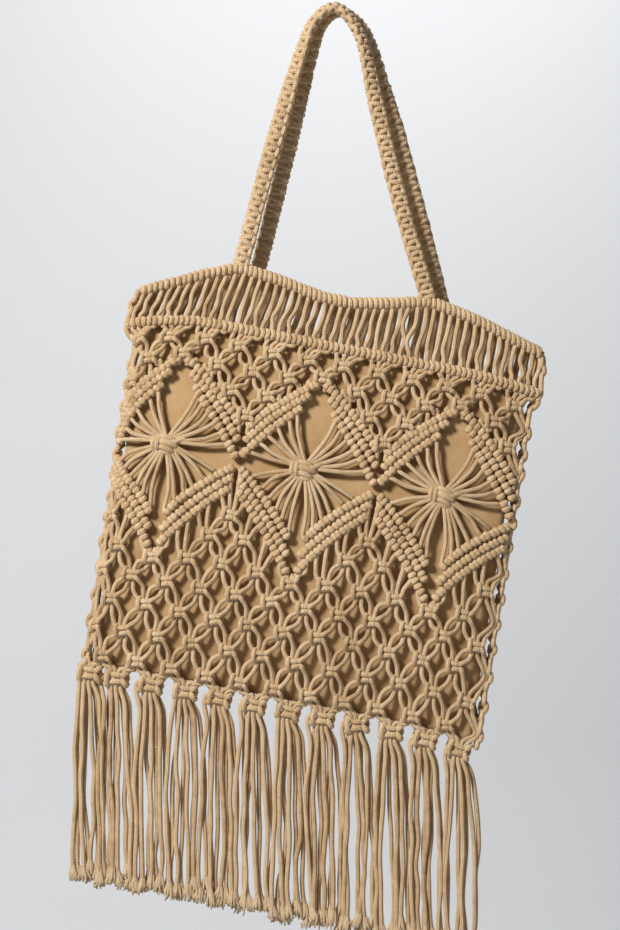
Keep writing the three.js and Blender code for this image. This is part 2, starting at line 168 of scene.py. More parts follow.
# Handle routes: share of the half span, share of the drop below the apex
HANDLE_ROUTES = {
    "front": (
        (5.5, 17),
        [
            (-0.66, 0.545),
            (-0.33, 0.157),
            (-0.2, 0.05),
            (0.01, 0),
            (0.235, 0.08),
            (0.43, 0.35),
            (0.69, 0.74),
        ],
    ),
    "back": (
        (6.55, 17.9),
        [
            (-0.49, 0.545),
            (-0.235, 0.157),
            (-0.13, 0.05),
            (0.05, 0),
            (0.3, 0.06),
            (0.575, 0.35),
            (0.87, 0.74),
        ],
    ),
}

# A square knot of four cords in a net: right, down, out towards the viewer, for its left cord and
# its right cord. The left cord passes in front, and the right cord behind with a bump at the left.
KNOT_LEFT_CORD = np.array([
    (-9.1, -8.5, 0),
    (-8.0, -5.6, 0.4),
    (-5.4, -3.4, 1.8),
    (-1.5, -2.3, 3.9),
    (2.2, -2.1, 4.2),
    (5.2, -2.2, 2.0),
    (7.3, -1.4, -0.6),
    (7.7, 0, -1.2),
    (7.3, 1.4, -0.6),
    (5.2, 2.4, 2.0),
    (2.2, 2.3, 4.2),
    (-1.5, 2.7, 3.9),
    (-5.4, 3.9, 1.8),
    (-8.0, 5.8, 0.4),
    (-9.1, 8.5, 0),
])
KNOT_RIGHT_CORD = np.array([
    (9.1, -8.5, 0),
    (8.0, -5.4, 2.0),
    (6.0, -3.0, 4.6),
    (4.0, -0.9, 2.2),
    (3.2, -0.8, -2.2),
    (0, -2.0, -3.8),
    (-3.6, -4.3, -2.2),
    (-5.2, -5.4, 1.4),
    (-6.4, -3.2, 4.6),
    (-6.9, 0, 5.4),
    (-6.4, 3.2, 4.6),
    (-5.2, 5.4, 1.4),
    (-3.6, 4.3, -2.2),
    (0, 2.0, -3.8),
    (3.2, 0.8, -2.2),
    (4.0, 0.9, 2.2),
    (6.0, 3.0, 4.6),
    (8.0, 5.4, 2.0),
    (9.1, 8.5, 0),
])
KNOT_CORE = np.array([
    (2.6, -8.5, 0),
    (2.1, -4.5, 0.2),
    (1.9, 0, 1.9),
    (2.1, 4.5, 0.2),
    (2.6, 8.5, 0),
])

# The same knot drawn tight, one after another down a handle
BRAID_PITCH = 11.5
BRAID_LEFT_CORD = np.array([
    (-6.1, -5.75, 0.2),
    (-4.4, -4.9, 1.8),
    (-1.4, -3.8, 3.7),
    (1.8, -2.5, 3.5),
    (4.8, -1.2, 0.8),
    (6.0, 0.1, -0.8),
    (4.8, 1.3, 0.8),
    (1.8, 1.9, 3.5),
    (-1.4, 2.6, 3.7),
    (-4.4, 4.0, 1.8),
])
BRAID_RIGHT_CORD = np.array([
    (5.9, -5.75, 0.5),
    (5.2, -4.2, 2.0),
    (4.4, -2.6, 2.7),
    (4.0, -1.2, 0.2),
    (3.0, -1.2, -2.0),
    (0, -1.8, -2.8),
    (-4.0, -3.4, -1.7),
    (-5.4, -4.0, 1.0),
    (-6.2, -2.2, 2.8),
    (-6.4, 0, 3.2),
    (-6.2, 2.2, 2.8),
    (-5.4, 4.0, 1.0),
    (-4.0, 3.4, -1.7),
    (0, 1.8, -2.8),
    (3.0, 1.2, -2.0),
    (4.0, 1.2, 0.2),
    (4.4, 2.6, 2.7),
    (5.2, 4.2, 2.0),
])

# Radii of cords and of the cores inside their bars
NET_CORD = 2.35
BACK_LADDER_CORD = 3.2
BAR_CORD = 2.6
BAR_CORE = 3.1
HITCH_CORE = 2.8
SEAM_CORD = 2.6
JOINING_CORD = 3.0
FRINGE_CORD = 2.35

BAR_PITCH = 5.35
HITCH_PITCH = 5.6
STEEP_HITCH_PITCH = 6.2
TASSELS = 12
TASSEL_CORDS = 8
CUT_FIBRES = 15

# Sides of a cord's section, step along it
NET_FINENESS = {"front": (8, 2.15), "back": (6, 3)}


def table(rows, at):
    return np.interp(at, [row[0] for row in rows], [row[1] for row in rows])


def diamond_drop(down):
    return DIAMOND_TOP + (DIAMOND_BOTTOM - DIAMOND_TOP) * down


def hem_rise(column):
    return LADDER_RISE * table(HEM_LINE, np.asarray(column) / COLUMNS)


def across_at(column, drop):
    below = np.clip(drop / KNOT_WIDTH, 0, 1)
    above = np.clip(-drop / LADDER_RISE, 0, 1)
    lean = COLUMN_LEAN * np.maximum(drop - KNOT_WIDTH, 0)
    shift = (1 - above) * (BAR_SHIFT + below * (COLUMN_SHIFT - BAR_SHIFT) + lean)
    tuck = below * LEFT_TUCK * np.maximum(1 - column / TUCK_COLUMNS, 0) ** 1.5
    return COLUMN_STEP * (column - COLUMNS / 2) * (1 - HEM_NARROWING * above) + shift + tuck


def dip_at(column, drop):
    low, high = diamond_drop(0.451), DIAMOND_BOTTOM - KNOT_WIDTH
    fade = 1 - np.clip((drop - low) / (high - low), 0, 1)
    left = np.maximum(1 - column / DIP_COLUMNS, 0) ** 1.5
    right = np.maximum(1 - (COLUMNS - column) / DIP_COLUMNS, 0) ** 1.5
    return LEFT_DIP * fade * left + RIGHT_DIP * right


def depth_at(column, drop):
    from_middle = np.minimum(np.abs(column - COLUMNS / 2) / (COLUMNS / 2), 1)
    fullness = (1 - from_middle ** 3) ** 0.45
    return SEAM_GAP + HALF_DEPTH * fullness * table(DEPTH_PROFILE, drop / NET_DROP)


def body_to_world(x, y, z):
    """Metres in the row frame, from millimetres in the tilted body's frame."""
    c, s = math.cos(BODY_TILT), math.sin(BODY_TILT)
    return np.stack([BAR_RIGHT + x * c + z * s, y, -BAR_BELOW_HOOK - x * s + z * c], -1) / 1000


def on_panel(points, side):
    """Points right along the columns, down the drop and out of the panel, laid on the bag."""
    points = np.asarray(points, float)
    column, drop, out = points[:, 0] / COLUMN_STEP, points[:, 1], points[:, 2]
    inside = np.clip(column, 0, COLUMNS)
    low, high = np.clip(inside - 0.05, 0, COLUMNS), np.clip(inside + 0.05, 0, COLUMNS)
    right = across_at(high, drop) - across_at(low, drop)
    deep = depth_at(high, drop) - depth_at(low, drop)
    size = np.hypot(right, deep)
    right, deep = right / size, deep / size
    x = across_at(column, drop) - out * deep
    y = side * (depth_at(inside, drop) + out * right)
    return body_to_world(x, y, -(drop + dip_at(inside, drop)))


def spline(points, step):
    """A smooth line through points, with a point about every step."""
    p = np.asarray(points, float)
    p = np.vstack([2 * p[0] - p[1], p, 2 * p[-1] - p[-2]])
    lines = []
    for a, b, c, d in zip(p, p[1:], p[2:], p[3:]):
        spans = [max(math.dist(m, n), 1e-3) ** 0.5 for m, n in ((a, b), (b, c), (c, d))]
        t1, t2, t3 = np.cumsum(spans)
        count = max(1, math.ceil(math.dist(b, c) / step))
        t = (t1 + (t2 - t1) * np.arange(count) / count)[:, None]
        a1 = (t1 - t) / t1 * a + t / t1 * b
        a2 = (t2 - t) / (t2 - t1) * b + (t - t1) / (t2 - t1) * c
        a3 = (t3 - t) / (t3 - t2) * c + (t - t2) / (t3 - t2) * d
        b1 = (t2 - t) / t2 * a1 + t / t2 * a2
        b2 = (t3 - t) / (t3 - t1) * a2 + (t - t1) / (t3 - t1) * a3
        lines.append((t2 - t) / (t2 - t1) * b1 + (t - t1) / (t2 - t1) * b2)
    lines.append(p[-2:-1])
    return np.vstack(lines)


def lengths_along(line):
    """The length of a line up to each of its points."""
    return np.concatenate([[0], np.cumsum(np.linalg.norm(np.diff(line, axis=0), axis=1))])


def placed(name, data):
    obj = bpy.data.objects.new(name, data)
    bpy.context.scene.collection.objects.link(obj)
    return obj


def smooth_mesh(name, points, faces, material):
    mesh = bpy.data.meshes.new(name)
    mesh.from_pydata(points, [], faces)
    mesh.update()
    mesh.polygons.foreach_set("use_smooth", np.ones(len(mesh.polygons), bool))
    mesh.materials.append(material)
    return mesh


class Piece:
    """Collects tubes, and makes one mesh of them."""

    def __init__(self, name):
        self.name = name
        self.points, self.loops, self.sizes, self.uvs, self.tones = [], [], [], [], []
        self.count = 0

    def tube(self, path, radius, sides=8, tone=None):
        """A cord along a path in metres, with its radius in millimetres."""
        path = np.asarray(path, float)
        count = len(path)
        tangent = np.gradient(path, axis=0)
        tangent /= np.linalg.norm(tangent, axis=1)[:, None]
        start = np.cross(tangent[0], (0.1, 1, 0.2))
        normal = np.empty_like(path)
        for i in range(count):
            start = start - start.dot(tangent[i]) * tangent[i]
            start /= math.sqrt(start.dot(start))
            normal[i] = start
        beside = np.cross(tangent, normal)
        turn = 2 * math.pi * np.arange(sides) / sides
        ring = (np.cos(turn)[None, :, None] * normal[:, None]
                + np.sin(turn)[None, :, None] * beside[:, None])
        reach = np.broadcast_to(np.asarray(radius, float) / 1000, count)
        self.points.append((path[:, None] + reach[:, None, None] * ring).reshape(-1, 3))
        i, j = np.meshgrid(np.arange(count - 1), np.arange(sides), indexing="ij")
        i, j = i.ravel(), j.ravel()
        k = (j + 1) % sides
        corners = np.stack([i * sides + j, i * sides + k, (i + 1) * sides + k, (i + 1) * sides + j])
        along = lengths_along(path) * 100
        u = np.stack([j, j + 1, j + 1, j]) / sides
        v = np.stack([along[i], along[i], along[i + 1], along[i + 1]])
        self.loops.append(corners.T.ravel() + self.count)
        self.uvs.append(np.stack([u.T.ravel(), v.T.ravel()], -1))
        self.sizes.append(np.full(len(i), 4))
        ends = np.arange(sides)
        self.loops.append(np.concatenate([ends[::-1], ends + (count - 1) * sides]) + self.count)
        caps = np.repeat([along[0], along[-1]], sides)
        self.uvs.append(np.stack([np.tile(ends / sides, 2), caps], -1))
        self.sizes.append(np.full(2, sides))
        self.tones.append(np.full(count * sides, rng.random() if tone is None else tone))
        self.count += count * sides

    def make(self, material, node):
        points, loops = np.concatenate(self.points), np.concatenate(self.loops)
        sizes = np.concatenate(self.sizes)
        mesh = bpy.data.meshes.new(self.name)
        mesh.vertices.add(len(points))
        mesh.vertices.foreach_set("co", points.ravel())
        mesh.loops.add(len(loops))
        mesh.loops.foreach_set("vertex_index", loops)
        mesh.polygons.add(len(sizes))
        mesh.polygons.foreach_set("loop_start", np.concatenate([[0], np.cumsum(sizes)[:-1]]))
        mesh.update(calc_edges=True)
        mesh.polygons.foreach_set("use_smooth", np.ones(len(sizes), bool))
        layer = mesh.uv_layers.new(name="cord")
        layer.data.foreach_set("uv", np.concatenate(self.uvs).ravel())
        tone = mesh.attributes.new("tone", "FLOAT", "POINT")
        tone.data.foreach_set("value", np.concatenate(self.tones))
        mesh.validate()
        mesh.materials.append(material)
        obj = placed(self.name, mesh)
        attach(obj, "root")
        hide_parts(node)


# Materials

# What is the same all over a surface
COTTON = {
    "Roughness": 0.92,
    "Specular IOR Level": 0.2,
    "Sheen Weight": 0.25,
    "Sheen Roughness": 0.6,
    "Sheen Tint": (1, 0.9, 0.75, 1),
}
BRUSHED_CLOTH = {"Roughness": 0.95, "Specular IOR Level": 0.15, "Sheen Weight": 0.15}
PAPER = {"Base Color": (0.75, 0.755, 0.765, 1), "Roughness": 0.9, "Specular IOR Level": 0.1}


class Look:
    """A material, and short ways to make and join its nodes."""

    def __init__(self, name):
        self.material = bpy.data.materials.new(name)
        self.material.use_nodes = True
        self.tree = self.material.node_tree
        self.tree.nodes.clear()
        self.link = self.tree.links.new

    def node(self, kind, **settings):
        node = self.tree.nodes.new(kind)
        for key, value in settings.items():
            if key in node.inputs:
                node.inputs[key].default_value = value
            else:
                setattr(node, key, value)
        return node

    def calc(self, operation, *values):
        node = self.node("ShaderNodeMath", operation=operation)
        for socket, value in zip(node.inputs, values):
            if isinstance(value, (int, float)):
                socket.default_value = value
            else:
                self.link(value, socket)
        return node.outputs[0]

    def on_object(self, kind, **settings):
        """A texture that stays with the object, as its Fac."""
        texture = self.node(kind, **settings)
        self.link(self.node("ShaderNodeTexCoord").outputs["Object"], texture.inputs["Vector"])
        return texture.outputs["Fac"]

    def noise(self, scale, detail, roughness=0.5):
        return self.on_object("ShaderNodeTexNoise", Scale=scale, Detail=detail, Roughness=roughness)

    def ramp(self, source, *rows):
        """Rows of place and colour, from dark to light."""
        ramp = self.node("ShaderNodeValToRGB")
        stops = ramp.color_ramp.elements
        for i in (0, -1):
            stops[i].position, stops[i].color = rows[i][0], (*rows[i][1], 1)
        for place, colour in rows[1:-1]:
            stops.new(place).color = (*colour, 1)
        self.link(source, ramp.inputs["Fac"])
        return ramp.outputs["Color"]

    def relief(self, height, strength, distance):
        bump = self.node("ShaderNodeBump", Strength=strength, Distance=distance)
        self.link(height, bump.inputs["Height"])
        return bump.outputs["Normal"]

    def finish(self, settings, colour=None, normal=None):
        shine = self.node("ShaderNodeBsdfPrincipled", **settings)
        for source, socket in ((colour, "Base Color"), (normal, "Normal")):
            if source is not None:
                self.link(source, shine.inputs[socket])
        output = self.node("ShaderNodeOutputMaterial")
        self.link(shine.outputs[0], output.inputs["Surface"])
        return self.material


def cord_material(name, dark, middle, light):
    """Soft plaited cotton: fine plaits along each cord, mottled colour, a tone for each cord, and
    painted crease shade in the plaits' grooves.
    """
    look = Look(name)
    parts = look.node("ShaderNodeSeparateXYZ")
    look.link(look.node("ShaderNodeUVMap", uv_map="cord").outputs["UV"], parts.inputs[0])
    around = look.calc("MULTIPLY", parts.outputs[0], 4 * 2 * math.pi)
    along = look.calc("MULTIPLY", parts.outputs[1], 2 * math.pi * 2.6)
    left = look.calc("SINE", look.calc("ADD", around, along))
    right = look.calc("SINE", look.calc("SUBTRACT", around, along))
    plait = look.calc("MULTIPLY", left, right)
    mottle, fibre, patches = look.noise(95, 4, 0.6), look.noise(900, 3, 0.7), look.noise(16, 2)
    tone = look.node("ShaderNodeAttribute", attribute_name="tone").outputs["Fac"]
    mixed = look.calc("MULTIPLY", mottle, 0.55)
    # The plait pattern also goes into the colour: its grooves are painted darker, as painted crease
    # shade.
    for source, share in ((fibre, 0.35), (patches, 0.25), (tone, 0.16), (plait, 0.1)):
        mixed = look.calc("ADD", mixed, look.calc("MULTIPLY", source, share))
    height = look.calc("ADD", look.calc("MULTIPLY", plait, 0.5), look.calc("MULTIPLY", fibre, 0.9))
    colour = look.ramp(mixed, (0.38, dark), (0.6, middle), (0.85, light))
    return look.finish(COTTON, colour, look.relief(height, 0.8, 0.0008))


def lining_material():
    """Brushed cloth: a fine weave, and a soft nap with lighter and darker patches."""
    look = Look("lining_cloth")
    threads = [
        look.on_object("ShaderNodeTexWave", bands_direction=direction, Scale=310, Distortion=1.2)
        for direction in ("X", "Z")
    ]
    weave = look.calc("MULTIPLY", *threads)
    shade = look.calc("MULTIPLY_ADD", weave, 0.12, look.noise(28, 5, 0.65))
    height = look.calc("MULTIPLY_ADD", weave, 0.6, look.noise(700, 2))
    colour = look.ramp(shade, (0.3, (0.42, 0.255, 0.115)), (0.72, (0.58, 0.39, 0.2)))
    return look.finish(BRUSHED_CLOTH, colour, look.relief(height, 0.35, 0.0005))


cord_look = cord_material("cotton_cord", (0.36, 0.21, 0.09), (0.6, 0.41, 0.225), (0.75, 0.56, 0.35))
lining_look = lining_material()


# Nets

def turned(points, angle, size=1.0):
    c, s = math.cos(angle), math.sin(angle)
    x, y = points[:, 0] * size, points[:, 1] * size
    return np.stack([x * c - y * s, x * s + y * c, points[:, 2] * size], -1)


def role_path(role):
    if role == 0:
        return KNOT_LEFT_CORD
    if role == 3:
        return KNOT_RIGHT_CORD
    return KNOT_CORE * (-1 if role == 1 else 1, 1, 1)


def nearest_diamond(column):
    centre = min(DIAMOND_CENTRES.values(), key=lambda c: abs(c - column))
    return min(abs(column - centre) / DIAMOND_COLUMNS, 1)


def upper_edge(column):
    return table(DIAMOND_TOP_EDGE, nearest_diamond(column))


def lower_edge(column):
    away = nearest_diamond(column)
    return diamond_drop(DIAMOND_LOW_POINT + (DIAMOND_LOW_CORNER - DIAMOND_LOW_POINT) * away)


def lens(above, below, cord):
    """The middle of a cord between two knots, bowed away from the cord beside it."""
    (ax, ad), (bx, bd) = above, below
    right = 1 if bx > ax else -1
    size = math.hypot(bx - ax, bd - ad)
    outer = (cord % 2 == 1) == (right > 0)
    bow = ((5.2 if outer else -5.0) + rng.normal(0, 0.5)) * min(1, (bd - ad - 3) / 20)
    return np.array([[(ax + bx) / 2 + right * bow * (bd - ad) / size,
                      (ad + bd) / 2 - bow * abs(bx - ax) / size,
                      1.2 + rng.normal(0, 0.5)]])


def net(name, side, rows, first, last, sides, step, node):
    """Cords 0 to 47 of one net, each led through its knots from first(column) to last(column)."""
    piece = Piece(name)
    places = {}
    for drop, knots in rows:
        for knot in knots:
            places[drop, knot] = (
                knot * COLUMN_STEP + rng.normal(0, 0.5),
                drop + rng.normal(0, 0.6),
                rng.normal(-0.14, 0.1),
                1.03 + rng.normal(0, 0.03),
            )
    for cord in range(2 * COLUMNS):
        natural = (cord + 0.5) / 2
        x = natural * COLUMN_STEP
        stops = []
        for drop, knots in rows:
            found = [k for k in knots if 0 <= cord - (2 * k - 2) <= 3]
            beside = min(cord, 2 * COLUMNS - 1 - cord)
            if found:
                kx, kd, angle, size = places[drop, found[0]]
                role = cord - (2 * found[0] - 2)
                shape = turned(role_path(role), angle, size)
                stops.append((kx, kd, shape + (kx, kd, 0), 2 if role in (0, 3) else 1))
            elif beside < 2 and drop in SIDE_ROWS:
                edge = 0.06 + 0.14 * beside
                edge = edge if cord < COLUMNS else COLUMNS - edge
                stops.append((None, drop, np.array([[COLUMN_STEP * edge, drop, -0.5]]), 0))
        path = [first(natural, x)]
        for i, (kx, kd, shape, trim) in enumerate(stops):
            paired = [other[0] is not None and kx is not None and 5 < abs(other[0] - kx) < 25
                      for other in (stops[max(i - 1, 0)], stops[min(i + 1, len(stops) - 1)])]
            if paired[0]:
                path.append(lens(stops[i - 1][:2], (kx, kd), cord))
            path.append(shape[trim if paired[0] else 0:-trim if paired[1] else None])
        path.append(last(natural, x))
        line = spline(np.vstack(path), step)
        width = np.full(len(line), NET_CORD)
        for kx, kd, *_ in stops:
            if kx is not None:
                near = np.hypot((line[:, 0] - kx) / 8, (line[:, 1] - kd) / 5.5)
                width += 0.4 * np.clip(1.5 - near, 0, 1)
        piece.tube(on_panel(line, side), width * (1 + rng.normal(0, 0.02)), sides)
    piece.make(cord_look, node)


def from_bar(natural, x):
    return np.array([(x, 0, -1.2), (x + rng.normal(0, 0.5), 6.5, 0.4)])


def to_diamond(natural, x):
    edge = upper_edge(natural)
    return np.array([(x, edge - 3, 0.8), (x, edge + 2, 0), (x, edge + 6, -1.6)])


def from_diamond(natural, x):
    edge = lower_edge(natural)
    return np.array([(x, edge - 6, -1.6), (x, edge - 2, 0), (x, edge + 3, 0.8)])


def to_joining_knot(natural, x):
    knot = 2 * math.floor(natural / 2) + 1
    beside = (natural - knot) * COLUMN_STEP
    return np.array([
        (knot * COLUMN_STEP + 0.62 * beside, NET_DROP - 9, 0.8),
        (knot * COLUMN_STEP + 0.35 * beside, NET_DROP - 2, 0),
    ])


# Bars

def wound_bar(name, side, drop_of, radius, node):
    """A carrier cord wound all the way along by the hitches."""
    piece = Piece(name)
    length = COLUMNS * COLUMN_STEP
    centre = radius - BAR_CORD + 1.2
    points = 13
    turns = round(length / BAR_PITCH)
    phase = np.arange(turns * points + 1) / points
    wobble = np.repeat(rng.normal(0, 0.35, turns + 1), points)[: len(phase)]
    swell = np.repeat(rng.normal(0, 0.18, turns + 1), points)[: len(phase)]
    smooth = np.ones(5) / 5
    wobble, swell = np.convolve(wobble, smooth, "same"), np.convolve(swell, smooth, "same")
    x = np.clip(phase / turns * length + wobble + 1.2 * np.cos(2 * math.pi * phase), 1.5, length - 3)
    angle = 2 * math.pi * phase
    drop = drop_of(np.clip(x / COLUMN_STEP, 0, COLUMNS)) + (centre + swell) * np.sin(angle)
    piece.tube(on_panel(np.stack([x, drop, (centre + swell) * np.cos(angle)], -1), side),
               BAR_CORD + 0.1)
    core_x = np.linspace(2, length - 4, 90)
    core = np.stack([core_x, drop_of(np.clip(core_x / COLUMN_STEP, 0, COLUMNS)), 0 * core_x], -1)
    piece.tube(on_panel(core, side), BAR_CORE)
    piece.make(cord_look, node)


def ladder(name, side, node, sides):
    """The bare upright cords, each with its own slow wave."""
    piece = Piece(name)
    for cord in range(2 * COLUMNS):
        column = min((cord + (0.5 if side < 0 else 1)) / 2, COLUMNS - 0.1)
        x = column * COLUMN_STEP
        if side > 0:
            x -= 1 + 2.3 * (1 - column / 12)
        top = -hem_rise(column) + 2
        sway = rng.normal(0, 1.4 if side < 0 else 0.5, 2)
        pair = (0.9 if cord % 2 else -0.9) * (side < 0)
        line = [
            (x + 2.2, top, -0.6),
            (x + 2.2 + 0.4 * sway[0], top * 0.86, 0.6),
            (x + 1.2 + sway[0], top * 0.64, rng.normal(0, 0.9)),
            (x - 0.8 + sway[1] + pair, top * 0.32, rng.normal(0, 0.9)),
            (x - 1.2 + 0.3 * sway[1] - pair, -8, 0.4),
            (x - 0.8, -1, -1.2),
        ]
        thick = (NET_CORD if side < 0 else BACK_LADDER_CORD) * (1 + rng.normal(0, 0.03))
        piece.tube(on_panel(spline(line, 3), side), thick, sides)
    piece.make(cord_look, node)


# Diamonds

def hitch_row(piece, line, middle, side, fine):
    """One carrier cord with the hitches of the cords that cross it, as a row of short lobes."""
    line = spline([(x, drop, 0) for x, drop in line], 1.0)[:, :2]
    along = lengths_along(line)
    steep = (line[-1, 0] - line[0, 0]) * (line[-1, 1] - line[0, 1]) > 0
    pitch = STEEP_HITCH_PITCH if steep else HITCH_PITCH
    count = round(along[-1] / pitch)
    sides, arc_points = (8, 9) if fine else (6, 6)
    carrier = []
    for number in range(count):
        at = (number + 0.5 + 0.06 * (-1) ** number) * along[-1] / count + rng.normal(0, 0.15)
        point = np.array([np.interp(at, along, column) for column in line.T])
        ahead = np.array([np.interp(at + 2, along, column) for column in line.T])
        behind = np.array([np.interp(at - 2, along, column) for column in line.T])
        if not 0.25 < (middle + point[0]) / COLUMN_STEP < COLUMNS - 0.15:
            continue
        forward = (ahead - behind) / np.linalg.norm(ahead - behind)
        if forward[0] < 0:
            forward = -forward
        across = np.array([-forward[1], forward[0]])
        angle = np.linspace(-0.12, 1.12, arc_points) * math.pi
        shift = -np.cos(angle)
        half = 4.9 - 0.57 * pitch + rng.normal(0, 0.08)
        slant = 0.35 + rng.normal(0, 0.2)
        flat = (point + (middle, 0) + across * (half * shift)[:, None]
                + forward * (slant * shift)[:, None])
        out = (2.7 + rng.normal(0, 0.15)) * np.sign(np.sin(angle)) * np.abs(np.sin(angle)) ** 0.7
        width = 0.57 * pitch + rng.normal(0, 0.08)
        piece.tube(on_panel(np.column_stack([flat, out]), side), width, sides)
        carrier.append((*(point + (middle, 0)), 0))
    if len(carrier) > 2:
        piece.tube(on_panel(np.array(carrier), side), HITCH_CORE)


def diamond(name, side, centre, node, fine):
    piece = Piece(name)
    middle = centre * COLUMN_STEP
    for line in DIAMOND_ROWS:
        hitch_row(piece, [(x, drop + rng.normal(0, 0.3)) for x, drop in line], middle, side, fine)

    # Fans of cords from the bars to the centre knot
    knot = np.array([middle - 3, diamond_drop(CENTRE_KNOT_DOWN) + 2])
    for number, roots in enumerate(DIAMOND_FANS):
        turn = 1 if number % 2 else -1
        below = 1 if number > 1 else -1
        for i, (x, drop) in enumerate(roots):
            root = np.array([middle + x, drop]) + rng.normal(0, 0.5, 2)
            spread = (i if below < 0 else 5 - i) / 5
            tip = knot + (turn * (1.5 + 8.5 * spread), below * (7.5 - 5 * spread))
            pull = root - tip
            bow = np.array([-pull[1], pull[0]]) / np.linalg.norm(pull)
            bend = rng.normal(0, 0.8) - turn * below * (2.2 - 1.0 * spread)
            line = [
                (*(root + 0.09 * pull), 0.2),
                (*root, 1.4),
                (*(tip + 0.7 * pull + bend * bow), 1.8),
                (*(tip + 0.35 * pull + 0.8 * bend * bow), 2.2),
                (*tip, 2.4),
                (*(tip - 0.1 * pull), 1.2),
            ]
            piece.tube(on_panel(spline(line, 3), side), 2.15 * (1 + rng.normal(0, 0.03)),
                       8 if fine else 6)

    # Centre knot: two upright lobes at its left, three wide ones across it, and two cord ends
    lobes = [
        ([(-9.5, -6, -1), (-12.3, -4.5, 2.8), (-13.2, 0, 4.6), (-12.3, 4.5, 2.8), (-9.5, 6, -1)], 2.7),
        ([(-6, -6.5, 0), (-8.2, -4.8, 4.2), (-8.8, 0, 6.0), (-8.2, 4.8, 4.2), (-6, 6.5, 0)], 2.5),
        ([(-8, -6.6, 0.5), (-4, -6.6, 4.4), (2, -6.0, 5.0), (7, -4.2, 3.0), (9, -1.5, 0)], 3.0),
        ([(-8, -1.5, 1), (-3.5, -1.8, 5.8), (2.5, -0.8, 6.2), (8, 0.6, 4.0), (11, 2, 0)], 3.1),
        ([(-8, 3.2, 0.5), (-3.5, 3.4, 5.0), (2, 4.8, 5.4), (6.5, 6.6, 3.0), (8, 8, 0)], 3.0),
        ([(-6, 7.2, 0.2), (-1.5, 8.2, 2.6), (3.5, 8.6, 2.8), (7.5, 7.0, 0.5)], 2.6),
        ([(3, -3.5, 4.5), (8, -3.0, 5.0), (12.5, -5.5, 3.4), (17, -8, 1.8)], 2.3),
    ]
    tilt = rng.normal(0.02, 0.04)
    for lobe, radius in lobes:
        shape = turned(np.array(lobe, float), tilt) + (knot[0], knot[1], 0.4)
        piece.tube(on_panel(spline(shape, 1.6), side), radius, 9 if fine else 7)
    piece.make(cord_look, node)


# Sides

def side_seam(name, edge, node):
    """The side cords of both panels, tied together by a column of knots that faces sideways."""
    piece = Piece(name)
    outward = -1 if edge == 0 else 1
    paths = {role: [] for role in range(4)}
    top = -float(hem_rise(edge)) - 2
    for role in range(4):
        paths[role].append(np.array([[(role - 1.5) * 3.2, top, 0]]))
    for i, drop in enumerate(SIDE_ROWS):
        if i:
            between = (drop + SIDE_ROWS[i - 1]) / 2
            for role in range(4):
                bow = (role - 1.5) * 3.6 + rng.normal(0, 0.8)
                out = -4.5 + abs(role - 1.5) * 3 + rng.normal(0, 0.5)
                paths[role].append(np.array([[bow, between, out]]))
        size, shift = 1 + rng.normal(0, 0.07), rng.normal(0, 1.2)
        for role in range(4):
            shape = turned(role_path(role) * (0.85, 0.95, 0.6), rng.normal(0, 0.1), size)
            paths[role].append(shape + (0, drop + shift, 0))
    for role in range(4):
        paths[role].append(np.array([[(role - 1.5) * 1.8, NET_DROP - 6, 0]]))
        line = spline(np.vstack(paths[role]), 2.2)
        y, drop, out = line.T
        near = np.clip(edge, 0.02, COLUMNS - 0.02)
        x = across_at(near, drop) + outward * (0.6 + out)
        piece.tube(body_to_world(x, y * 0.85, -(drop + dip_at(near, drop))), SEAM_CORD)
    piece.make(cord_look, node)


# Handles

def handle(face):
    """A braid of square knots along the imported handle's own route."""
    side = SIDES[face]
    roots, bends = HANDLE_ROUTES[face]

    def root(column):
        drop = -float(hem_rise(column)) - HEM_RADIUS - CLEARANCE + 5
        return on_panel(np.array([[column * COLUMN_STEP, drop, 0]]), side)[0] * 1000

    middle = [(across * HANDLE_HALF_SPAN, side * HANDLE_APART, HANDLE_APEX - below * HANDLE_DROP)
              for across, below in bends]
    route = spline([root(roots[0]), *middle, root(roots[1])], 1.0)
    along = lengths_along(route)
    tangent = np.gradient(route, axis=0)
    tangent /= np.linalg.norm(tangent, axis=1)[:, None]
    below = np.clip((HANDLE_APEX - route[:, 2]) / HANDLE_DROP / 0.5, 0, 1)
    twist = HANDLE_TWIST * (1 - below * below * (3 - 2 * below))
    outward = np.stack([-tangent[:, 2], 0 * twist, tangent[:, 0]], -1)
    facing = outward * np.sin(twist)[:, None] + np.cos(twist)[:, None] * (0, -1, 0)
    across = np.cross(tangent, facing)
    across /= np.linalg.norm(across, axis=1)[:, None]
    knots = round(along[-1] / BRAID_PITCH)
    pitch = along[-1] / knots
    mirror = -1 if face == "front" else 1
    flip = 1 if face == "front" else -1

    def laid(points):
        u, s, w = points.T
        s = np.clip(s, 0, along[-1])
        at = [np.interp(s, along, column) for column in route.T]
        wide = [np.interp(s, along, column) for column in across.T]
        out = [np.interp(s, along, column) for column in facing.T]
        return (np.stack(at, -1) + u[:, None] * np.stack(wide, -1)
                + w[:, None] * np.stack(out, -1)) / 1000

    piece = Piece(f"handle_{face}_braid")
    for template, radius in ((BRAID_LEFT_CORD, 2.7), (BRAID_RIGHT_CORD, 2.5)):
        path = []
        for number in range(knots):
            shape = template * (mirror, pitch / BRAID_PITCH, flip)
            shape = shape * (1 + rng.normal(0, 0.03), 1, 1)
            path.append(shape + (rng.normal(0, 0.2), (number + 0.5) * pitch, 0))
        piece.tube(laid(spline(np.vstack(path), 2)), radius, tone=0.6)
    # Painted shade: the core cords under the braid, seen only in its gaps, get a darker tone (0.3) than
    # the braid cords (0.6).
    for place in (-2.8, 0, 2.8):
        core = np.column_stack([
            np.full(120, place), np.linspace(-1, along[-1] + 1, 120), np.zeros(120)])
        piece.tube(laid(core), 2.9, 7, 0.3)
    piece.make(cord_look, f"handle_{face}")


# Fringe

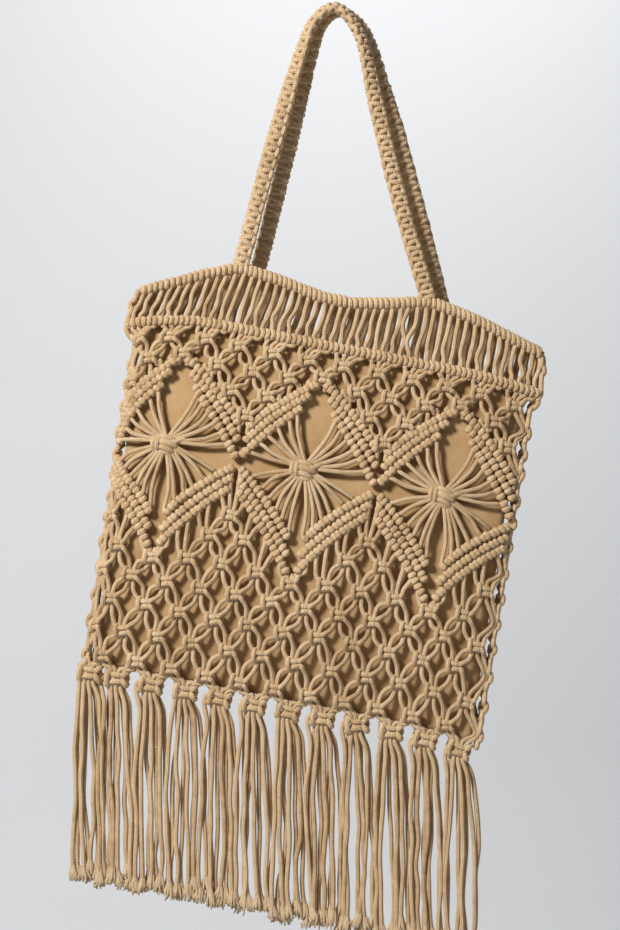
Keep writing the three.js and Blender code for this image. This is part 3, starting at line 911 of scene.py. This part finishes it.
def tassel(number, knot):
    """A joining knot with its eight cut cords and their frayed ends."""
    piece = Piece(f"tassel_{number:02d}_cords")
    place = on_panel(np.array([[knot * COLUMN_STEP, NET_DROP, 0]]), -1)[0] * 1000
    place[1] = 0
    c, s = math.cos(BODY_TILT), math.sin(BODY_TILT)
    right, down, out = np.array([c, 0, -s]), np.array([-s, 0, -c]), np.array([0, -1, 0])

    def from_knot(points):
        return (place + points[:, :1] * right + points[:, 1:2] * down + points[:, 2:3] * out) / 1000

    angle = rng.normal(0, 0.08)
    for flip in (1, -1):
        for role in range(4):
            shape = role_path(role)
            shape = turned(shape[np.abs(shape[:, 1]) < 6.5] * (1.38, 1.4, 1.05), angle)
            shape = shape * (1, 1, flip) + (0, 0, flip * 1.2)
            piece.tube(from_knot(spline(shape, 2.2)), JOINING_CORD)

    for strand in range(TASSEL_CORDS):
        front = strand % 2 == 0
        slot = strand - (TASSEL_CORDS - 1) / 2
        length = FRINGE_LENGTH * (1 + rng.normal(0, 0.012))
        y = (-2.6 if front else 2.6) + rng.normal(0, 0.4)
        if strand == 0 and number % 3 != 1:
            away = 11 + 3 * rng.random()
            start = [place - 8 * right - 2 * down + (0, -2, 0), place - away * right + 1.0 * down,
                     place - (away + 0.5) * right + 8 * down]
        else:
            start = [place + slot * 1.9 * right + 3 * down + (0, y, 0),
                     place + slot * 2.2 * right + 9 * down + (0, y, 0)]
        drift = np.cumsum(rng.normal(0, 1.5, 8))
        drift -= np.linspace(0, 0.5, 8) * drift[-1]
        lean = rng.normal(0, 0.6)
        rest = []
        for i, share in enumerate((0.13, 0.26, 0.39, 0.52, 0.65, 0.77, 0.89, 1)):
            opened = 2.9 + 1.6 * min(share / 0.4, 1)
            rest.append((place[0] + slot * opened + drift[i] * min(2 * share, 1) + lean,
                         y * (1 - 0.3 * share) + rng.normal(0, 0.6),
                         place[2] - length * share))
        line = spline(np.vstack([start, rest]), 5)
        radius = FRINGE_CORD * (1 + rng.normal(0, 0.03))
        to_end = lengths_along(line[::-1])[::-1]
        width = radius * (1 - 0.55 * np.clip(1 - to_end / 5, 0, 1) ** 2)
        # Painted shade: the back strands, behind the front ones, get only dark tones.
        tone = rng.random() if front else 0.35 * rng.random()
        piece.tube(line / 1000, width, tone=tone)
        end, away = line[-1], line[-1] - line[-2]
        away /= np.linalg.norm(away)
        clump = rng.normal(0, 1.7, 3) * (1, 0.6, 0.3)
        for fibre in range(CUT_FIBRES):
            turn = 2 * math.pi * (fibre + rng.random()) / CUT_FIBRES
            sideways = np.array([math.cos(turn), 0.7 * math.sin(turn), 0])
            inner = 0.3 + 0.7 * rng.random() ** 0.6
            size = 9 + 4 * rng.random()
            flare = 1.8 + 2.8 * rng.random()
            curl = rng.normal(0, 1.1, 3)
            lock = [
                end - 8 * away + 0.55 * inner * radius * sideways,
                end - 4 * away + 0.85 * inner * radius * sideways,
                end + 0.5 * away + (1.0 * radius + 0.2 * flare) * inner * sideways + 0.1 * clump,
                end + 0.5 * size * away + (1.1 * radius + 0.7 * flare) * inner * sideways + 0.6 * clump,
                end + size * away + (0.9 * radius + flare) * inner * sideways + clump + curl,
            ]
            path = spline(lock, 4.6)
            width = np.interp(np.linspace(0, 1, len(path)), [0, 0.5, 1], [1.0, 1.45, 0.8])
            piece.tube(path / 1000, width, 5, 1.2 + 0.7 * rng.random())
    piece.make(cord_look, f"tassel_{number:02d}")


# Lining

def lining():
    """A thin cloth pouch sewn in under the upper bars, with soft folds."""
    top = UPPER_BAR_RADIUS + 1.5
    rows, around = 60, 60
    start_out = -HITCH_THICKNESS / 2 - 1.3

    def shell(inset, bottom):
        rings = []
        for drop in np.linspace(top, bottom, rows):
            ring = []
            for face in (-1, 1):
                edge = 0.3 + inset / COLUMN_STEP
                column = np.linspace(edge, COLUMNS - edge, around)
                if face > 0:
                    column = column[::-1]
                fold = 0.55 * np.sin(column * 1.9 + drop * 0.021) * np.sin(drop * 0.035 + column * 0.4)
                fold += 0.25 * np.sin(column * 5.1 - drop * 0.05)
                out = np.full(around, start_out - inset) - 0.35 + 0.35 * fold
                points = np.stack([column * COLUMN_STEP, np.full(around, drop), out], -1)
                ring.append(on_panel(points, face))
            rings.append(np.concatenate(ring))
        return rings

    outer, inner = shell(0, LINING_BOTTOM - 0.5), shell(0.8, LINING_BOTTOM - 1.6)
    rings = np.array(outer[::-1] + inner)
    count, width = rings.shape[0], rings.shape[1]
    faces = []
    for i in range(count - 1):
        for j in range(width):
            k = (j + 1) % width
            faces.append((i * width + j, i * width + k, (i + 1) * width + k, (i + 1) * width + j))
    for base in (0, (count - 1) * width):
        for j in range(around - 1):
            face = (base + j, base + j + 1, base + width - 2 - j, base + width - 1 - j)
            faces.append(face if base else face[::-1])
    points = [tuple(p) for p in rings.reshape(-1, 3)]
    obj = placed("lining_cloth", smooth_mesh("lining_cloth", points, faces, lining_look))
    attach(obj, "root")
    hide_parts("lining_pouch")


for face, side in SIDES.items():
    near = face == "front"
    sides, step = NET_FINENESS[face]
    wound_bar(f"{face}_hem_bar_hitches", side, lambda column: -hem_rise(column), HEM_RADIUS,
              f"{face}_hem_bar")
    ladder(f"{face}_ladder_cords", side, f"{face}_ladder", 8 if near else 7)
    wound_bar(f"{face}_upper_bar_hitches", side, lambda column: 0 * column, UPPER_BAR_RADIUS,
              f"{face}_upper_bar")
    net(f"{face}_net_upper_cords", side, UPPER_ROWS, from_bar, to_diamond, sides, step,
        f"{face}_net_upper")
    net(f"{face}_net_lower_cords", side, LOWER_ROWS, from_diamond, to_joining_knot, sides, step,
        f"{face}_net_lower")
    for place, centre in DIAMOND_CENTRES.items():
        diamond(f"{face}_diamond_{place}_hitches", side, centre, f"{face}_diamond_{place}", near)
    handle(face)

side_seam("side_seam_left_knots", 0, "side_seam_left")
side_seam("side_seam_right_knots", COLUMNS, "side_seam_right")
for i in range(TASSELS):
    tassel(i + 1, 2 * i + 1)
lining()


# Studio

# Lamps: name, place, aim, size, watts, colour
LAMPS = [
    ("key", (-1.6, -2.05, 1.05), (0, 0, -0.5), 0.55, 110, (1, 0.98, 0.95)),
    ("fill", (1.8, -2.0, 0.2), (0, 0, -0.5), 1.6, 1.2, (0.96, 0.98, 1)),
    ("back", (-1.6, 2.0, 1.2), (0, 0, -0.45), 0.9, 34, (0.98, 0.99, 1)),
    ("side", (2.7, 0.7, 0.5), (0, 0, -0.45), 1.2, 12, (0.98, 0.99, 1)),
    ("wall_high", (0.2, 2.4, 2.4), (0.3, 4.8, 0.6), 1.6, 80, (0.98, 0.99, 1)),
    ("wall_low", (-1.8, 2.6, -0.9), (-1.0, 4.8, -1.1), 1.2, 15, (0.98, 0.99, 1)),
]


def backdrop():
    """A pale floor that sweeps up into a wall behind the bag, in metres."""
    near, wall, reach = -4.5, 4.8, 7
    floor, top, bend = -2.1, 3.5, 0.8
    profile = [(near, floor), (wall - bend, floor)]
    for i in range(1, 9):
        turn = i / 9 * math.pi / 2
        profile.append((wall - bend + bend * math.sin(turn), floor + bend * (1 - math.cos(turn))))
    profile += [(wall, floor + bend), (wall, top)]
    points = [(x, y, z) for y, z in profile for x in (-reach, reach)]
    faces = [(2 * i, 2 * i + 1, 2 * i + 3, 2 * i + 2) for i in range(len(profile) - 1)]
    paper = Look("backdrop_paper").finish(PAPER)
    placed("backdrop", smooth_mesh("backdrop", points, faces, paper))


def lamp(name, place, aim, size, watts, colour):
    light = bpy.data.lights.new(name, "AREA")
    light.size, light.energy, light.color = size, watts, colour
    obj = placed(name, light)
    obj.location = place
    x, y, z = np.array(aim) - np.array(place)
    obj.rotation_euler = (math.atan2(math.hypot(x, y), -z), 0, math.atan2(x, -y) + math.pi)


backdrop()
for row in LAMPS:
    lamp(*row)
world = bpy.data.worlds.new("studio")
world.use_nodes = True
background = world.node_tree.nodes["Background"].inputs
background["Color"].default_value = (0.93, 0.95, 1, 1)
background["Strength"].default_value = 0.1
bpy.context.scene.world = world

camera = bpy.data.cameras.new("camera")
camera.lens = 85
camera.sensor_width = 36
view = placed("camera", camera)
view.location = (-0.024, -2.196, -0.448)
view.rotation_euler = (math.pi / 2, 0, 0)
bpy.context.scene.camera = view
bpy.context.scene.view_settings.view_transform = "Standard"
